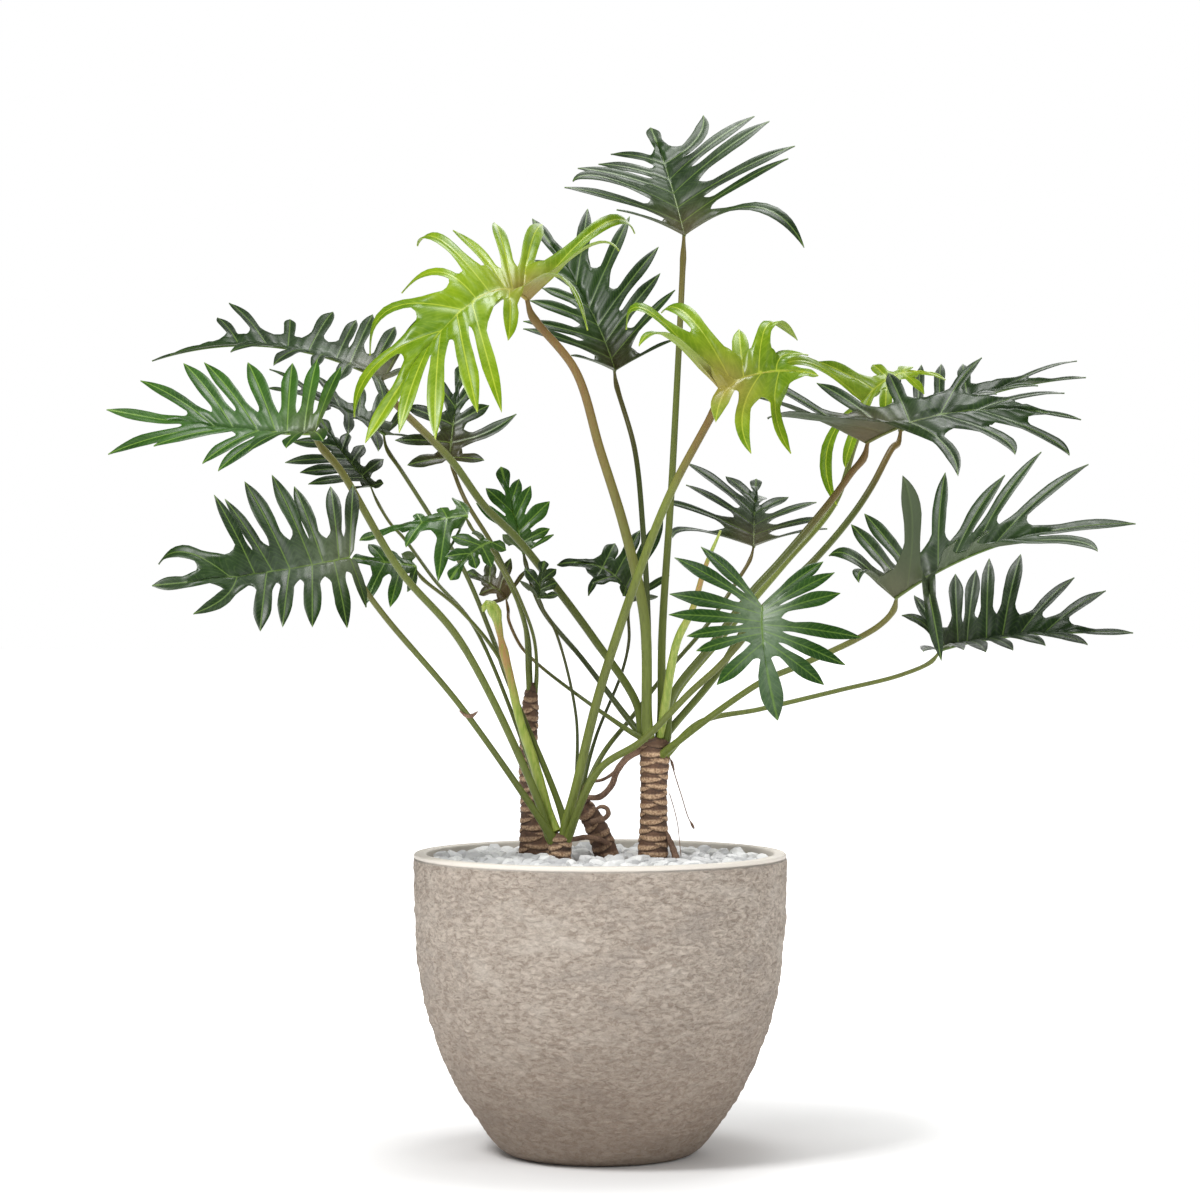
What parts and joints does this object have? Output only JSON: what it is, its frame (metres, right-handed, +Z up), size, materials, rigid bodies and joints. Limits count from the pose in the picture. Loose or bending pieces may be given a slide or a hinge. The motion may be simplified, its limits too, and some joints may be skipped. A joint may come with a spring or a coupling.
{
  "type": "potted philodendron plant",
  "caption": "Tall bushy aroid house plant with deeply cut leaves on long stalks, standing in a round tapered stone-look planter topped with pale gravel.",
  "frame": {"origin": "middle of the pot's flat foot, on the ground", "axes": "+Z up, out of the pot's mouth; -Y towards the viewer, the side the plant is seen from; +X to the viewer's right"},
  "size_m": [1.2254, 0.716, 1.281],
  "materials": {
    "pot": "rough, chipped rock texture outside in grey brown, with a smooth cream rim",
    "soil": "dark crumbly potting soil",
    "gravel": "white and grey angular marble chips, matt",
    "bark": "brown stem ringed with pale crescent leaf scars",
    "root": "dull brown aerial root",
    "stalk": "satin olive green, turning pink brown towards the leaf",
    "sheath": "satin yellow green",
    "leaf_dark": "leathery dark green with a soft sheen and paler veins",
    "leaf_mid": "leathery mid green with a soft sheen and paler veins",
    "leaf_lime": "young lime green with a soft sheen and a pale underside"
  },
  "bodies": {
    "root": {"pot": "pot", "soil": "soil", "gravel": "gravel", "trunk_right": "bark", "trunk_left_front": "bark", "trunk_left_back": "bark", "trunk_middle": "bark", "young_shoot": "sheath", "rolled_leaf": "sheath", "root_upper": "root", "root_curl": "root", "root_low": "root", "leaf_top_blade": "leaf_dark", "leaf_top_stalk": "stalk", "leaf_lime_left_blade": "leaf_lime", "leaf_lime_left_stalk": "stalk", "leaf_back_fan_blade": "leaf_dark", "leaf_back_fan_stalk": "stalk", "leaf_right_upper_blade": "leaf_dark", "leaf_right_upper_stalk": "stalk", "leaf_right_far_blade": "leaf_dark", "leaf_right_far_stalk": "stalk", "leaf_right_middle_blade": "leaf_dark", "leaf_right_middle_stalk": "stalk", "leaf_right_low_blade": "leaf_dark", "leaf_right_low_stalk": "stalk", "leaf_right_small_blade": "leaf_dark", "leaf_right_small_stalk": "stalk", "leaf_front_blade": "leaf_mid", "leaf_front_stalk": "stalk", "leaf_lime_far_blade": "leaf_lime", "leaf_lime_far_stalk": "stalk", "leaf_left_top_blade": "leaf_dark", "leaf_left_top_stalk": "stalk", "leaf_left_long_blade": "leaf_mid", "leaf_left_long_stalk": "stalk", "leaf_left_low_blade": "leaf_dark", "leaf_left_low_stalk": "stalk", "leaf_left_inner_blade": "leaf_mid", "leaf_left_inner_stalk": "stalk", "leaf_lime_centre_blade": "leaf_lime", "leaf_lime_centre_stalk": "stalk", "leaf_centre_green_blade": "leaf_mid", "leaf_centre_green_stalk": "stalk", "leaf_centre_dark_blade": "leaf_dark", "leaf_centre_dark_stalk": "stalk", "leaf_left_fan_blade": "leaf_dark", "leaf_left_fan_stalk": "stalk", "leaf_left_flat_blade": "leaf_dark", "leaf_left_flat_stalk": "stalk", "leaf_left_back_blade": "leaf_dark", "leaf_left_back_stalk": "stalk", "leaf_young_left_blade": "leaf_mid", "leaf_young_left_stalk": "stalk", "leaf_glossy_blade": "leaf_mid", "leaf_glossy_stalk": "stalk", "leaf_brown_stalk_blade": "leaf_dark", "leaf_brown_stalk_stalk": "stalk", "leaf_tiny_blade": "leaf_dark", "leaf_tiny_stalk": "stalk"}
  },
  "joints": []
}
